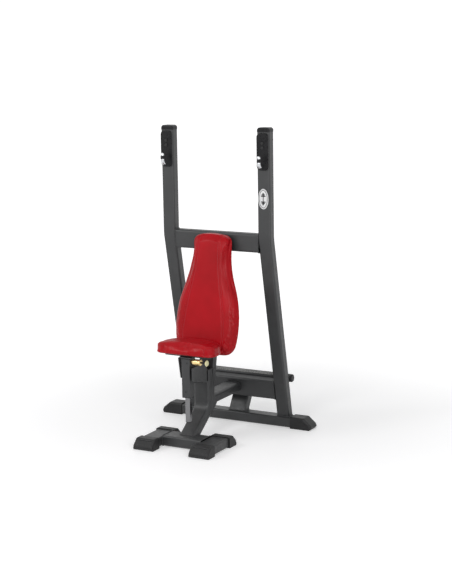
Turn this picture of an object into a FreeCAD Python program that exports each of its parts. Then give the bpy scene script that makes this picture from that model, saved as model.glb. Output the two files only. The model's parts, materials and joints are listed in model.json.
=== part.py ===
import FreeCAD, Part
import math
import os
import re
import Sketcher
from FreeCAD import Placement, Rotation, Vector

# A seated olympic military press bench. Millimetres, +X to the lifter's left as seen from the front,
# the front of the bench faces -Y, +Z up. The origin is on the floor at the centre of the footprint.

SIZES = {
    # whole machine
    "overall_height": 1800, "overall_width": 1020, "overall_depth": 990,
    "wall": 3, "floor_gap": 4, "foot_rise": 6, "foot_skirt": 4, "foot_soft": 12, "foot_toe": 16,
    "foot_nose": 52, "foot_brow": 40,
    # rear base beam
    "rear_beam_y": 326, "rear_beam_depth": 84, "beam_height": 60, "beam_corner": 10,
    "rear_beam_half": 440, "rear_foot_inner": 372,
    # front base: cross beam and two runners
    "front_beam_y": -304, "front_beam_depth": 120, "runner_x": 181, "runner_width": 110,
    "runner_height": 54, "runner_foot_width": 128, "runner_foot_length": 86,
    "runner_front_y": -495.6, "runner_rear_y": -147, "runner_inset": 30,
    # uprights
    "upright_x": 315, "upright_width": 80, "upright_depth": 60, "upright_corner": 12,
    "upright_y": 111, "upright_lean": 11.35, "upright_bend": 1164, "bend_radius": 200,
    "end_cap": 26, "end_plug": 20, "end_corner": 17, "end_soft": 7,
    # cross beams between the uprights
    "upper_beam_z": 1135, "upper_beam_y": 115, "upper_beam_height": 110, "upper_beam_corner": 14,
    "lower_beam_z": 230, "lower_beam_height": 120,
    # spine, rear link, rear brace
    "spine_z": 225, "spine_width": 100, "spine_height": 60, "spine_corner": 20,
    "brace_y": 338, "brace_width": 110, "brace_depth": 56, "brace_lean": 31,
    # main column
    "column_y": -95, "column_width": 100, "column_depth": 60, "column_corner": 16,
    "column_top": 412, "column_cap": 6, "column_kink": 174, "column_slope": 35, "column_bend": 90,
    "doubler": 15, "gusset_top": 232, "gusset_low": 149,
    # back rest
    "rest_lean": 10.7, "post_width": 100, "post_depth": 40, "post_bottom": 340, "post_front_y": -26.5,
    "rest_datum": 600, "board": 15, "back_foam": 60, "back_bottom": 492, "back_top": 1179,
    "back_wide": 210, "back_narrow": 126, "back_wide_z": 665, "back_narrow_z": 1110,
    "back_foot_corner": 78, "back_head_corner": 50, "back_crown": 8, "board_inset": 14,
    "foam_soft": 24, "foam_rear_soft": 12,
    "rest_bolt_x": 30, "rest_bolt_low": 640, "rest_bolt_high": 960,
    # seat arm, cheek plates, neck
    "arm_front": -180, "arm_bottom": 347, "arm_height": 73, "cheek": 5, "cheek_rear": -150,
    "cheek_front": -315, "cheek_toe_z": 390, "cheek_notch": 466, "cheek_top": 512,
    "cheek_brow": -286, "cheek_toe": -262,
    "neck_width": 44, "neck_height": 56,
    # seat sleeve, post and pad
    "seat_y": -270, "sleeve": 56, "sleeve_corner": 7, "sleeve_bottom": 287, "sleeve_top": 510,
    "bush_length": 40, "bush_lip": 3, "bush_gap": 0.3, "seat_post": 30, "seat_post_corner": 4,
    "post_wall": 2.5, "seat_post_bottom": 140, "hole_pitch": 25, "hole_count": 7,
    "plate_z": 516, "plate_width": 80, "plate_length": 150, "plate_thick": 6,
    "cushion_y": -229.5, "seat_width": 385, "seat_depth": 195, "seat_front_corner": 50,
    "seat_rear_corner": 125, "seat_foam": 66, "seat_soft": 24, "seat_under": 12,
    "seat_board_inset": 46,
    # locking pin
    "pin_z": 493, "pin_r": 5, "pin_gap": 0.08, "pin_tip": 8, "barrel_r": 18, "barrel_start": 38,
    "barrel_end": 86, "barrel_bore": 11, "barrel_floor": 6, "collar_r": 8, "collar_x": 40.2,
    "collar_thick": 4, "spring_r": 8, "spring_wire": 1.2, "spring_turns": 6,
    "knob_x": 120, "knob_thick": 8, "knob_r": 18,
    # spotter's foot bar
    "bar_r": 24, "bar_y": 342, "bar_z": 294, "bar_half": 356, "bar_cap": 9, "tread": 1.2,
    "tread_half": 268, "tread_angle": 120, "saddle_width": 50, "saddle_height": 44,
    # bar hooks and badge
    "guard_width": 76, "guard_thick": 8, "guard_bottom": 1558, "guard_height": 212,
    "guard_corner": 25, "brow_height": 45, "brow_thick": 12, "hook_r": 10.5, "hook_z": 1580,
    "hook_lip_y": 27, "hook_bend": 22, "hook_tip": 1644, "bolt_r": 5, "bolt_head_r": 8.5,
    "bolt_head": 5.5, "screw_head_r": 4,
    "badge_z": 1395, "badge_width": 64, "badge_height": 116, "badge_thick": 2.5,
}

doc = FreeCAD.newDocument("PressBench")
sheet = doc.addObject("Spreadsheet::Sheet", "Sheet")
for row, (alias, value) in enumerate(SIZES.items(), start=1):
    sheet.set(f"A{row}", alias)
    sheet.set(f"B{row}", str(value))
    sheet.setAlias(f"B{row}", alias)
doc.recompute()

NODES = {}
ALIASES = re.compile(r"\b(" + "|".join(sorted(SIZES, key=len, reverse=True)) + r")\b")
XY, XZ, YZ = "XY_Plane", "XZ_Plane", "YZ_Plane"
ALONG_X = Rotation(Vector(0, 0, 1), 90) * Rotation(Vector(1, 0, 0), 90)
ALONG_Y = Rotation(Vector(1, 0, 0), -90)


# ---- helpers -----------------------------------------------------------------------------------------

def size(alias):
    """The number that the spreadsheet holds for an alias."""
    return float(sheet.get(alias))


def bind(obj, prop, formula):
    """Ties a property to a formula of spreadsheet aliases."""
    obj.setExpression(prop, ALIASES.sub(r"Sheet.\1", str(formula)))


def place(obj, x="0", y="0", z="0", turn=Rotation()):
    """Turns an object about its own origin and puts that origin at a place bound to the sheet."""
    obj.Placement = Placement(Vector(), turn)
    for letter, formula in zip("xyz", (x, y, z)):
        bind(obj, f"Placement.Base.{letter}", formula)
    return obj


def node(label, obj):
    """Registers an object as a sub-part of its own, under the name of its file."""
    obj.Label = label
    NODES[label] = obj
    return obj


def new_body(label):
    return doc.addObject("PartDesign::Body", label)


def new_sketch(body, plane, offset=None):
    """A sketch on one of the body's own origin planes, lifted along its normal by a bound offset."""
    sketch = body.newObject("Sketcher::SketchObject", body.Name + "_sketch")
    support = [f for f in body.Origin.OriginFeatures if f.Role == plane][0]
    sketch.AttachmentSupport = [(support, "")]
    sketch.MapMode = "FlatFace"
    if offset is not None:
        bind(sketch, "AttachmentOffset.Base.z", offset)
    return sketch


def drive(sketch, kind, refs, value, formula):
    """Adds one dimension to a sketch and ties it to the sheet."""
    index = sketch.addConstraint(Sketcher.Constraint(kind, *refs, value))
    bind(sketch, f"Constraints[{index}]", formula)


def add_rectangle(sketch, width, height, corner):
    """A rounded rectangle centred on the sketch origin, fully dimensioned from the sheet."""
    first = len(sketch.Geometry)
    a, b, r = 20.0, 15.0, 4.0
    runs = [((-a + r, -b), (a - r, -b)), ((a, -b + r), (a, b - r)),
            ((a - r, b), (-a + r, b)), ((-a, b - r), (-a, -b + r))]
    for start, end in runs:
        sketch.addGeometry(Part.LineSegment(Vector(*start, 0), Vector(*end, 0)))
    centres = [(a - r, -b + r), (a - r, b - r), (-a + r, b - r), (-a + r, -b + r)]
    for quarter, centre in enumerate(centres):
        circle = Part.Circle(Vector(*centre, 0), Vector(0, 0, 1), r)
        start = math.radians(90 * quarter - 90)
        sketch.addGeometry(Part.ArcOfCircle(circle, start, start + math.pi / 2))
    rule = Sketcher.Constraint
    for i in range(4):
        sketch.addConstraint(rule("Tangent", first + i, 2, first + 4 + i, 1))
        sketch.addConstraint(rule("Tangent", first + 4 + i, 2, first + (i + 1) % 4, 1))
    for kind, line in (("Horizontal", 0), ("Horizontal", 2), ("Vertical", 1), ("Vertical", 3)):
        sketch.addConstraint(rule(kind, first + line))
    for i in range(3):
        sketch.addConstraint(rule("Equal", first + 4 + i, first + 5 + i))
    sketch.addConstraint(rule("Symmetric", first + 4, 3, first + 6, 3, -1, 1))
    drive(sketch, "DistanceX", (first + 3, 1, first + 1, 1), 2 * a, width)
    drive(sketch, "DistanceY", (first, 1, first + 2, 1), 2 * b, height)
    drive(sketch, "Radius", (first + 4,), r, corner)


def add_circle(sketch, radius, centre=(0, 0), at=None):
    """A circle dimensioned from the sheet; at gives the formulas of its centre."""
    index = sketch.addGeometry(Part.Circle(Vector(*centre, 0), Vector(0, 0, 1), 5))
    drive(sketch, "Radius", (index,), 5, radius)
    if at is None:
        sketch.addConstraint(Sketcher.Constraint("Coincident", index, 3, -1, 1))
    else:
        drive(sketch, "DistanceX", (-1, 1, index, 3), centre[0], at[0])
        drive(sketch, "DistanceY", (-1, 1, index, 3), centre[1], at[1])


def add_outline(sketch, points):
    """A closed outline of straight runs between points, each held where it is put."""
    count = len(points)
    first = len(sketch.Geometry)
    for i in range(count):
        run = Part.LineSegment(Vector(*points[i], 0), Vector(*points[(i + 1) % count], 0))
        sketch.addGeometry(run)
    for i in range(count):
        link = Sketcher.Constraint("Coincident", first + i, 2, first + (i + 1) % count, 1)
        sketch.addConstraint(link)
        sketch.addConstraint(Sketcher.Constraint("Block", first + i))


def add_runs(sketch, runs):
    """Adds lines through two points and arcs through three, wound the way that sketches expect."""
    for run in runs:
        spots = [Vector(x, y, 0) for x, y in run]
        if len(spots) == 2:
            sketch.addGeometry(Part.LineSegment(*spots))
            continue
        start, middle, end = spots
        if (middle - start).cross(end - middle).z < 0:
            start, end = end, start
        sketch.addGeometry(Part.Arc(start, middle, end))


def extrude(body, sketch, length, along=None, back=False):
    """Pads a sketch; along gives a slanted direction, with the length still measured upright."""
    pad = body.newObject("PartDesign::Pad", body.Name + "_pad")
    pad.Profile = sketch
    pad.Reversed = back
    if along is not None:
        pad.UseCustomVector = True
        pad.Direction = along
        pad.AlongSketchNormal = True
    bind(pad, "Length", length)
    doc.recompute()
    return pad


def pocket(body, sketch, length, back=False):
    """Cuts a sketch out of the body, and stops the build if it removes nothing."""
    before = body.Shape.Volume
    cut = body.newObject("PartDesign::Pocket", body.Name + "_pocket")
    cut.Profile = sketch
    cut.Reversed = back
    bind(cut, "Length", length)
    doc.recompute()
    if not body.Shape.Volume < before - 1:
        raise ValueError(f"the pocket in {body.Name} cuts nothing")
    return cut


def soften(body, base, radius, chosen):
    """Rounds the edges of the last feature that the function chosen picks."""
    names = [f"Edge{i}" for i, edge in enumerate(base.Shape.Edges, 1) if chosen(edge)]
    fillet = body.newObject("PartDesign::Fillet", body.Name + "_fillet")
    fillet.Base = (base, names)
    bind(fillet, "Radius", radius)
    doc.recompute()
    return fillet


def at_height(z):
    return lambda edge: abs(edge.BoundBox.ZMin - z) < 1e-3 and abs(edge.BoundBox.ZMax - z) < 1e-3


def tube(label, width, depth, corner, length, hollow=True):
    """A straight tube of rounded rectangular section, from its own origin along its own +Z."""
    body = new_body(label)
    sketch = new_sketch(body, XY)
    add_rectangle(sketch, width, depth, corner)
    if hollow:
        add_rectangle(sketch, f"{width} - 2 * wall", f"{depth} - 2 * wall", f"{corner} - wall")
    extrude(body, sketch, length)
    return body


def round_bar(label, radius, length, bore=None):
    """A round bar or tube from its own origin along its own +Z."""
    body = new_body(label)
    sketch = new_sketch(body, XY)
    add_circle(sketch, radius)
    if bore is not None:
        add_circle(sketch, bore)
    extrude(body, sketch, length)
    return body


def bent_bar(label, path, width, depth, corner, top, hollow):
    """A bent tube: the section at the top of the path is swept down a line, an arc and a line."""
    body = new_body(label)
    route = new_sketch(body, YZ)
    add_runs(route, path)
    section = new_sketch(body, XY, top)
    add_rectangle(section, width, depth, corner)
    if hollow:
        add_rectangle(section, f"{width} - 2 * wall", f"{depth} - 2 * wall", f"{corner} - wall")
    section.AttachmentOffset = Placement(Vector(0, path[0][0][0], size_of(top)), Rotation())
    pipe = body.newObject("PartDesign::AdditivePipe", label + "_pipe")
    pipe.Profile = section
    pipe.Spine = route
    doc.recompute()
    return body


def size_of(formula):
    """The value of a formula of aliases."""
    return float(sheet.evalExpression(ALIASES.sub(r"Sheet.\1", str(formula))))


def bent_path(y, top, kink, angle, radius, end_z):
    """Down from (y, top), round a bend at the height kink, then on at an angle from the vertical.
    A positive angle leads to +Y. Sketch coordinates are (Y, Z)."""
    turn = math.radians(abs(angle))
    side = math.copysign(1, angle)
    reach = radius * math.tan(turn / 2)

    def on_bend(share):
        swept = turn * share
        return y + side * radius * (1 - math.cos(swept)), kink + reach - radius * math.sin(swept)

    low_y, low_z = on_bend(1)
    drop = low_z - end_z
    return [((y, top), on_bend(0)),
            (on_bend(0), on_bend(0.5), on_bend(1)),
            (on_bend(1), (low_y + side * drop * math.tan(turn), end_z))]


def cut(label, base, *tools):
    """The base with each tool taken out of it."""
    result = base
    for number, tool in enumerate(tools):
        step = doc.addObject("Part::Cut", f"{label}_cut{number}")
        step.Base = result
        step.Tool = tool
        result = step
    doc.recompute()
    return result


def group(label, members):
    """Separate solids that share one node, such as a set of bolts."""
    compound = doc.addObject("Part::Compound", label)
    compound.Links = members
    doc.recompute()
    return compound


# ---- values worked out from the sheet ----------------------------------------------------------------

upright_tan = math.tan(math.radians(size("upright_lean")))
rest_tan = math.tan(math.radians(size("rest_lean")))
upright_tilt = Rotation(Vector(1, 0, 0), size("upright_lean"))
rest_tilt = Rotation(Vector(1, 0, 0), -size("rest_lean"))
beam_z = "floor_gap + beam_height / 2"
SIDES = (("left", 1), ("right", -1))


def upright_y(z):
    """Centre line of the sloping lower half of an upright, as a formula of the height z."""
    return f"upright_y + tan(upright_lean) * (upright_bend - ({z}))"


def rest_y(z):
    """Front plane of the back support post, as a formula of the height z."""
    return f"post_front_y + tan(rest_lean) * (({z}) - rest_datum)"


# ---- base --------------------------------------------------------------------------------------------

def rear_base():
    """The wide rear beam, its envelope for trimming, and the two wedge feet on its ends."""
    beam = tube("rear_base_beam", "rear_beam_depth", "beam_height", "beam_corner",
                "2 * rear_beam_half")
    node("rear_base_beam", place(beam, "-rear_beam_half", "rear_beam_y", beam_z, ALONG_X))
    for side, sign in SIDES:
        foot = rear_foot(f"{side}_rear_foot")
        place(foot, y="rear_beam_y", turn=Rotation(Vector(0, 0, 1), 0 if sign > 0 else 180))
        node(f"{side}_rear_foot", foot)


def foot_profile(tip, back, top, nose, turn):
    """Side view of a foot as corner points: a blunt toe at the tip and a long slope behind it."""
    toe = size("foot_toe")
    reaches = [(toe * 0.8, 0), (0, toe), (toe * 0.4, toe * 2), (nose, top)]
    return [(tip + turn * reach, z) for reach, z in reaches] + [(back, top), (back, 0)]


def rear_foot(label):
    """A rubber foot that slips over a beam end, with a broad round nose."""
    inner = size("rear_foot_inner")
    top = size("beam_height") + size("floor_gap") + size("foot_rise")
    body = new_body(label)
    side_view = new_sketch(body, XZ)
    add_outline(side_view, foot_profile(size("overall_width") / 2, inner, top, size("foot_nose"),
                                        -1))
    width = "rear_beam_depth + 2 * foot_skirt"
    bind(side_view, "AttachmentOffset.Base.z", f"-({width}) / 2")
    pad = extrude(body, side_view, width)
    soften(body, pad, "foot_soft", lambda e: e.BoundBox.XMax > inner + 1
           and e.BoundBox.ZMin > 1)
    socket = new_sketch(body, YZ, "rear_foot_inner")
    add_rectangle(socket, "rear_beam_depth", "beam_height", "beam_corner")
    socket.AttachmentOffset = Placement(Vector(0, size_of(beam_z), inner), Rotation())
    pocket(body, socket, "rear_beam_half - rear_foot_inner", back=True)
    return body


def front_base():
    """The H of the front base: a cross beam between two runners, each with a foot at either end."""
    beam = tube("front_cross_beam", "front_beam_depth", "beam_height", "beam_corner",
                "2 * runner_x - runner_width")
    place(beam, "runner_width / 2 - runner_x", "front_beam_y", beam_z, ALONG_X)
    node("front_cross_beam", beam)
    for side, sign in SIDES:
        runner = tube(f"{side}_runner", "runner_width", "runner_height", "beam_corner",
                      "runner_rear_y - runner_front_y - 2 * runner_inset")
        place(runner, f"{sign} * runner_x", "runner_front_y + runner_inset",
              "floor_gap + runner_height / 2", ALONG_Y)
        node(f"{side}_runner", runner)
        for end, tip, turn in (("front", "runner_front_y", 0), ("rear", "runner_rear_y", 180)):
            label = f"{side}_runner_{end}_foot"
            foot = runner_foot(label)
            place(foot, f"{sign} * runner_x", tip, "0", Rotation(Vector(0, 0, 1), turn))
            node(label, foot)


def runner_foot(label):
    """A rubber foot that slips over a runner end. Its tip is at its own origin, facing -Y."""
    length = size("runner_foot_length")
    top = size("runner_height") + size("floor_gap") + size("foot_rise")
    body = new_body(label)
    side_view = new_sketch(body, YZ)
    add_outline(side_view, foot_profile(0, length, top, size("foot_brow"), 1))
    bind(side_view, "AttachmentOffset.Base.z", "-runner_foot_width / 2")
    pad = extrude(body, side_view, "runner_foot_width")
    soften(body, pad, "foot_soft", lambda e: e.BoundBox.YMin < length - 1
           and e.BoundBox.ZMin > 1)
    socket = new_sketch(body, XZ, "-runner_foot_length")
    add_rectangle(socket, "runner_width", "runner_height", "beam_corner")
    socket.AttachmentOffset = Placement(
        Vector(0, size_of("floor_gap + runner_height / 2"), -length), Rotation())
    pocket(body, socket, "runner_foot_length - runner_inset", back=True)
    return body


# ---- uprights and cross beams ------------------------------------------------------------------------

def uprights():
    """Two bent uprights that stand on the rear beam, each closed by a soft-edged cap."""
    top = "overall_height - end_cap"
    path = bent_path(size("upright_y"), size_of(top), size("upright_bend"), size("upright_lean"),
                     size("bend_radius"), 20)
    for side, sign in SIDES:
        body = bent_bar(f"{side}_upright", path, "upright_width", "upright_depth",
                        "upright_corner", top, hollow=True)
        floor = new_sketch(body, XY, "floor_gap + beam_height")
        add_rectangle(floor, "overall_width", "overall_depth", "wall")
        pocket(body, floor, "beam_height")
        node(f"{side}_upright", place(body, f"{sign} * upright_x"))
        cap = upright_cap(f"{side}_upright_cap")
        node(f"{side}_upright_cap", place(cap, f"{sign} * upright_x", "upright_y", top))


def upright_cap(label):
    """A moulded hood with round shoulders, and a plug under it. Its seat is at its own origin."""
    half, high = size("upright_width") / 2, size("end_cap")
    round_to = size("end_corner")
    slack = round_to * (1 - math.sqrt(0.5))
    body = new_body(label)
    front_view = new_sketch(body, XZ)
    add_runs(front_view, [
        ((-half, 0), (half, 0)),
        ((half, 0), (half, high - round_to)),
        ((half, high - round_to), (half - slack, high - slack), (half - round_to, high)),
        ((half - round_to, high), (round_to - half, high)),
        ((round_to - half, high), (slack - half, high - slack), (-half, high - round_to)),
        ((-half, high - round_to), (-half, 0))])
    bind(front_view, "AttachmentOffset.Base.z", "-upright_depth / 2")
    pad = extrude(body, front_view, "upright_depth")
    soften(body, pad, "end_soft", lambda e: e.BoundBox.YLength < 0.01 and e.BoundBox.ZMax > 1)
    plug = new_sketch(body, XY)
    add_rectangle(plug, "upright_width - 2 * wall", "upright_depth - 2 * wall",
                  "upright_corner - wall")
    extrude(body, plug, "end_plug", back=True)
    return body


def end_cap(label, width, depth, corner, thick, soft):
    """A plug with a soft-edged head, for the open end of a tube. The head is on its own +Z side."""
    body = new_body(label)
    head = new_sketch(body, XY)
    add_rectangle(head, width, depth, corner)
    pad = extrude(body, head, thick)
    soften(body, pad, soft, at_height(size_of(thick)))
    plug = new_sketch(body, XY)
    add_rectangle(plug, f"{width} - 2 * wall", f"{depth} - 2 * wall", f"{corner} - wall")
    extrude(body, plug, "end_plug", back=True)
    return body


def lower_beam(label, hollow=True):
    """The lower cross beam, tilted with the uprights so that its faces are flush with theirs."""
    body = tube(label, "lower_beam_height", "upright_depth", "upright_corner",
                "2 * upright_x - upright_width", hollow)
    turn = upright_tilt * Rotation(Vector(0, 1, 0), 90)
    return place(body, "upright_width / 2 - upright_x", upright_y("lower_beam_z"), "lower_beam_z",
                 turn)


def cross_beams():
    upper = tube("upper_cross_beam", "upper_beam_height", "upright_depth", "upper_beam_corner",
                 "2 * upright_x - upright_width")
    place(upper, "upright_width / 2 - upright_x", "upper_beam_y", "upper_beam_z",
          Rotation(Vector(0, 1, 0), 90))
    node("upper_cross_beam", upper)
    node("lower_cross_beam", lower_beam("lower_cross_beam"))


# ---- column, spine, rear link and brace --------------------------------------------------------------

def column_bar(label, hollow):
    """The bent main column: upright behind the seat, then raking forward to the front beam."""
    path = bent_path(size("column_y"), size("column_top"), size("column_kink"),
                     size("column_slope") - 90, size("column_bend"), 34)
    return bent_bar(label, path, "column_width", "column_depth", "column_corner", "column_top",
                    hollow)


def column_doubler(column_space):
    """A box behind the column that thickens it, and fills the corner under the spine below."""
    face = size("column_y") + size("column_depth") / 2
    rear, top, waist = face + size("doubler"), size("column_top"), size("gusset_top")
    low = size("gusset_low")
    body = new_body("doubler_box")
    sketch = new_sketch(body, YZ)
    add_outline(sketch, [(face - 2, top), (rear, top), (rear, waist), (face + 79, waist),
                         (face + 68, waist - 8), (face + 55, waist - 18), (face + 42, waist - 28),
                         (face + 34, waist - 37), (face - 19, low), (face - 31, low)])
    bind(sketch, "AttachmentOffset.Base.z", "-column_width / 2")
    pad = extrude(body, sketch, "column_width")
    soften(body, pad, "5", lambda e: e.BoundBox.ZLength > 100 and e.BoundBox.YMin > rear - 1)
    return node("column_doubler", cut("column_doubler", body, column_space))


def column_and_spine():
    """The column, the spine from its back to the lower cross beam, and the link and brace behind."""
    column = column_bar("main_column", hollow=True)
    column_space = column_bar("column_space", hollow=False)
    doubler = column_doubler(column_space)
    front_space = tube("front_beam_space", "front_beam_depth", "beam_height", "beam_corner",
                       "2 * runner_x", hollow=False)
    place(front_space, "-runner_x", "front_beam_y", beam_z, ALONG_X)
    beam_space = lower_beam("lower_beam_space", hollow=False)
    node("main_column", cut("main_column", column, front_space))
    cap = end_cap("column_cap", "column_width", "column_depth", "column_corner", "column_cap",
                  "column_cap - 2")
    node("column_cap", place(cap, y="column_y", z="column_top"))

    spine = tube("spine", "spine_width", "spine_height", "spine_corner",
                 upright_y("spine_z") + " - column_y")
    place(spine, y="column_y", z="spine_z", turn=ALONG_Y)
    node("spine_tube", cut("spine_tube", spine, column_space, doubler, beam_space))

    link_end = "overall_depth / 2 - column_cap"
    link = tube("link", "spine_width", "spine_height", "spine_corner",
                f"{link_end} - ({upright_y('spine_z')})")
    place(link, y=upright_y("spine_z"), z="spine_z", turn=ALONG_Y)
    node("rear_link", cut("rear_link", link, beam_space))
    link_cap = end_cap("rear_link_cap", "spine_width", "spine_height", "spine_corner",
                       "column_cap", "column_cap - 2")
    node("rear_link_cap", place(link_cap, y=link_end, z="spine_z", turn=ALONG_Y))

    lean = math.radians(size("brace_lean"))
    brace = new_body("rear_brace")
    section = new_sketch(brace, XY)
    depth = "brace_depth / cos(brace_lean)"
    add_rectangle(section, "brace_width", depth, "beam_corner")
    add_rectangle(section, "brace_width - 2 * wall", f"{depth} - 2 * wall", "beam_corner - wall")
    extrude(brace, section, "spine_z - spine_height / 2 - floor_gap - beam_height",
            along=Vector(0, math.sin(lean), math.cos(lean)))
    node("rear_brace", place(brace, y="brace_y", z="floor_gap + beam_height"))
    return column_space, doubler


# ---- back rest ---------------------------------------------------------------------------------------

def back_outline(inset):
    """Outline of the back pad in its own plane, as runs: a broad foot that curves in to a narrow
    head with a crowned top. Points are (X, height up the slope)."""
    rise = 1 / math.cos(math.radians(size("rest_lean")))
    low, high = size("back_bottom") * rise + inset, size("back_top") * rise - inset
    wide, narrow = size("back_wide") - inset, size("back_narrow") - inset
    wide_z, narrow_z = size("back_wide_z") * rise, size("back_narrow_z") * rise
    foot, head = size("back_foot_corner") - inset, size("back_head_corner") - inset
    step, drop = narrow_z - wide_z, wide - narrow
    turn = 2 * math.atan(drop / step)
    radius = step / (2 * math.sin(turn))

    def on_belly(swept):
        return wide - radius * (1 - math.cos(swept)), wide_z + radius * math.sin(swept)

    def on_neck(swept):
        return narrow + radius * (1 - math.cos(swept)), narrow_z - radius * math.sin(swept)

    hip = -math.asin((wide_z - low - foot) / (radius - foot))
    heel_x, heel_z = wide - radius + (radius - foot) * math.cos(hip), low + foot
    heel = (hip - math.pi / 2) / 2
    bevel = head * (1 - math.sqrt(0.5))
    right = [
        ((0, low), (heel_x, low)),
        ((heel_x, low), (heel_x + foot * math.cos(heel), heel_z + foot * math.sin(heel)),
         on_belly(hip)),
        (on_belly(hip), on_belly((hip + turn) / 2), on_belly(turn)),
        (on_neck(turn), on_neck(turn / 2), on_neck(0)),
        (on_neck(0), (narrow, high - head)),
        ((narrow, high - head), (narrow - bevel, high - bevel), (narrow - head, high)),
    ]
    crown = [((narrow - head, high), (0, high + size("back_crown")), (head - narrow, high))]
    return right + crown + [tuple((-x, z) for x, z in run) for run in reversed(right)]


def back_slab(label, inset, thick, depth):
    """A slab of the back pad's outline, with its back face at a distance in front of the post."""
    body = new_body(label)
    sketch = new_sketch(body, XZ)
    add_runs(sketch, back_outline(inset))
    extrude(body, sketch, thick)
    place(body, y=f"{rest_y('0')} - ({depth}) / cos(rest_lean)", turn=rest_tilt)
    return body


def back_rest(column_space, doubler):
    """The support post behind the column, the plywood board and the pad on its front."""
    lean = math.radians(size("rest_lean"))
    post = new_body("support_post")
    section = new_sketch(post, XY)
    depth = "post_depth / cos(rest_lean)"
    add_rectangle(section, "post_width", depth, "beam_corner")
    add_rectangle(section, "post_width - 2 * wall", f"{depth} - 2 * wall", "beam_corner - wall")
    top = "upper_beam_z - upper_beam_height / 2"
    extrude(post, section, f"{top} - post_bottom", along=Vector(0, math.sin(lean), math.cos(lean)))
    place(post, y=f"{rest_y('post_bottom')} + {depth} / 2", z="post_bottom")
    board = back_slab("board", size("board_inset"), "board", "0")
    pad = back_slab("foam", 0, "back_foam", "board")
    front = soften(pad, pad.Tip, "foam_soft", lambda e: e.BoundBox.YMax < 1 - size("back_foam"))
    soften(pad, front, "foam_rear_soft", lambda e: e.BoundBox.YMin > -0.01)
    bolts = []
    for number, (x, z) in enumerate((x, z) for z in ("rest_bolt_low", "rest_bolt_high")
                                    for x in ("-rest_bolt_x", "rest_bolt_x")):
        bolts.append(rest_bolt(f"rest_bolt_{number}", x, z))
    bolt_set = group("back_bolts", bolts)
    node("back_support_post", cut("back_support_post", post, column_space, doubler, bolt_set))
    node("back_board", cut("back_board", board, bolt_set))
    node("back_pad", pad)
    node("back_bolts", bolt_set)


def rest_bolt(label, x, z):
    """A bolt through the support post into the board, its head on the back of the post."""
    body = new_body(label)
    shank = new_sketch(body, XY)
    add_circle(shank, "bolt_r")
    extrude(body, shank, "post_depth + board - 3")
    head = new_sketch(body, XY)
    add_circle(head, "bolt_head_r")
    pad = extrude(body, head, "bolt_head", back=True)
    soften(body, pad, "1.5", at_height(-size("bolt_head")))
    turn = rest_tilt * Rotation(Vector(1, 0, 0), 90)
    return place(body, x, f"{rest_y(z)} + post_depth / cos(rest_lean)", z, turn)


# ---- seat arm and sleeve -----------------------------------------------------------------------------

def seat_arm():
    """The arm between the column and the seat sleeve, with a cheek plate on either side. The left
    plate reaches past the sleeve and stops below the locking pin. The right one has a sloping front
    and is as high as the sleeve."""
    column_front = "column_y - column_depth / 2"
    arm = tube("seat_arm", "arm_height", f"{column_front} - arm_front", "beam_corner",
               "column_width")
    node("seat_arm", place(arm, "-column_width / 2", f"({column_front} + arm_front) / 2",
                           "arm_bottom + arm_height / 2", Rotation(Vector(0, 1, 0), 90)))
    neck = tube("sleeve_neck", "neck_width", "neck_height", "sleeve_corner",
                "arm_front - seat_y - sleeve / 2")
    node("sleeve_neck", place(neck, y="seat_y + sleeve / 2", z="arm_bottom + arm_height / 2",
                              turn=ALONG_Y))
    rear, low = size("cheek_rear"), size("arm_bottom")
    front, toe, toe_z = size("cheek_front"), size("cheek_toe"), size("cheek_toe_z")
    notch, top = size("cheek_notch"), size("cheek_top")
    fronts = {"left": [(front, notch), (front, toe_z), (rear, low), (rear, notch)],
              "right": [(size("cheek_brow"), top), (toe, toe_z), (rear, low), (rear, top)]}
    for side, sign in SIDES:
        plate = new_body(f"{side}_cheek_plate")
        sketch = new_sketch(plate, YZ)
        add_outline(sketch, fronts[side])
        extrude(plate, sketch, "cheek")
        offset = "column_width / 2" if sign > 0 else "-column_width / 2 - cheek"
        node(f"{side}_cheek_plate", place(plate, offset))


def seat_sleeve():
    """The square guide tube of the seat, bored for the locking pin, with a bush at either end."""
    sleeve = tube("sleeve", "sleeve", "sleeve", "sleeve_corner", "sleeve_top - sleeve_bottom")
    place(sleeve, y="seat_y", z="sleeve_bottom")
    hole = round_bar("pin_clearance", "pin_r + 1", "sleeve / 2")
    place(hole, "seat_post / 2", "seat_y", "pin_z", ALONG_X)
    node("seat_sleeve", cut("seat_sleeve", sleeve, hole))
    upper = bush("upper_sleeve_bush")
    place(upper, y="seat_y", z="sleeve_top")
    lower = bush("lower_sleeve_bush")
    place(lower, y="seat_y", z="sleeve_bottom", turn=Rotation(Vector(1, 0, 0), 180))
    node("upper_sleeve_bush", cut("upper_sleeve_bush", upper, hole))
    node("lower_sleeve_bush", lower)
    heads = []
    for x, z in (("10", "pin_z - 5"), ("0", "sleeve_bottom + bush_length - 8")):
        head = round_bar(f"sleeve_screw_{len(heads)}", "screw_head_r", "screw_head_r / 2")
        heads.append(place(head, x, "seat_y - sleeve / 2", z, Rotation(Vector(1, 0, 0), 90)))
    node("sleeve_screws", group("sleeve_screws", heads))


def bush(label):
    """A plastic liner that the post slides in. Its lip is above its own origin, outside the tube."""
    body = new_body(label)
    bore = ("seat_post + 2 * bush_gap", "seat_post_corner + bush_gap")
    lip = new_sketch(body, XY)
    add_rectangle(lip, "sleeve", "sleeve", "sleeve_corner")
    add_rectangle(lip, bore[0], bore[0], bore[1])
    extrude(body, lip, "bush_lip")
    liner = new_sketch(body, XY)
    add_rectangle(liner, "sleeve - 2 * wall", "sleeve - 2 * wall", "sleeve_corner - wall")
    add_rectangle(liner, bore[0], bore[0], bore[1])
    extrude(body, liner, "bush_length", back=True)
    return body


# ---- seat: everything that rises with the post -------------------------------------------------------

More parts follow.
